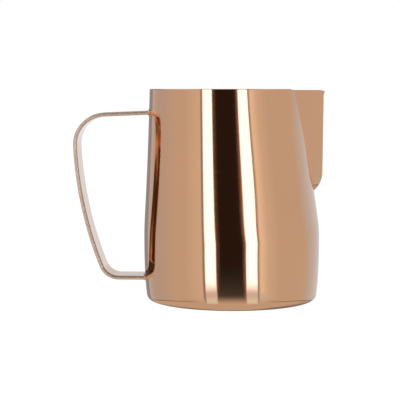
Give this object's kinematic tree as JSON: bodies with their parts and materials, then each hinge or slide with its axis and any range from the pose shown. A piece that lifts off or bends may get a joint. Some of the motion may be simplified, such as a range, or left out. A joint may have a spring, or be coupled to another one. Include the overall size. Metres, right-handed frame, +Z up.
{
  "type": "milk frothing jug",
  "caption": "Mirror-polished rose-gold steel jug for frothing and pouring milk, with a sharp pinched spout at the front and a bent strap handle at the back.",
  "frame": {"origin": "middle of the ring that the jug stands on, at its lowest level", "axes": "+Z up, +X towards the spout, -X towards the handle; the XZ plane is the jug's plane of symmetry"},
  "size_m": [0.1279, 0.09, 0.108],
  "materials": {
    "polished_shell": "mirror-polished steel with a rose-gold coating, satin inside",
    "polished_strip": "mirror-polished steel strip with a rose-gold coating",
    "weld_metal": "ground and coated weld"
  },
  "bodies": {
    "root": {"body_shell": "polished_shell", "spout": "polished_shell", "handle_strap": "polished_strip", "handle_weld_upper": "weld_metal", "handle_weld_lower": "weld_metal"}
  },
  "joints": []
}
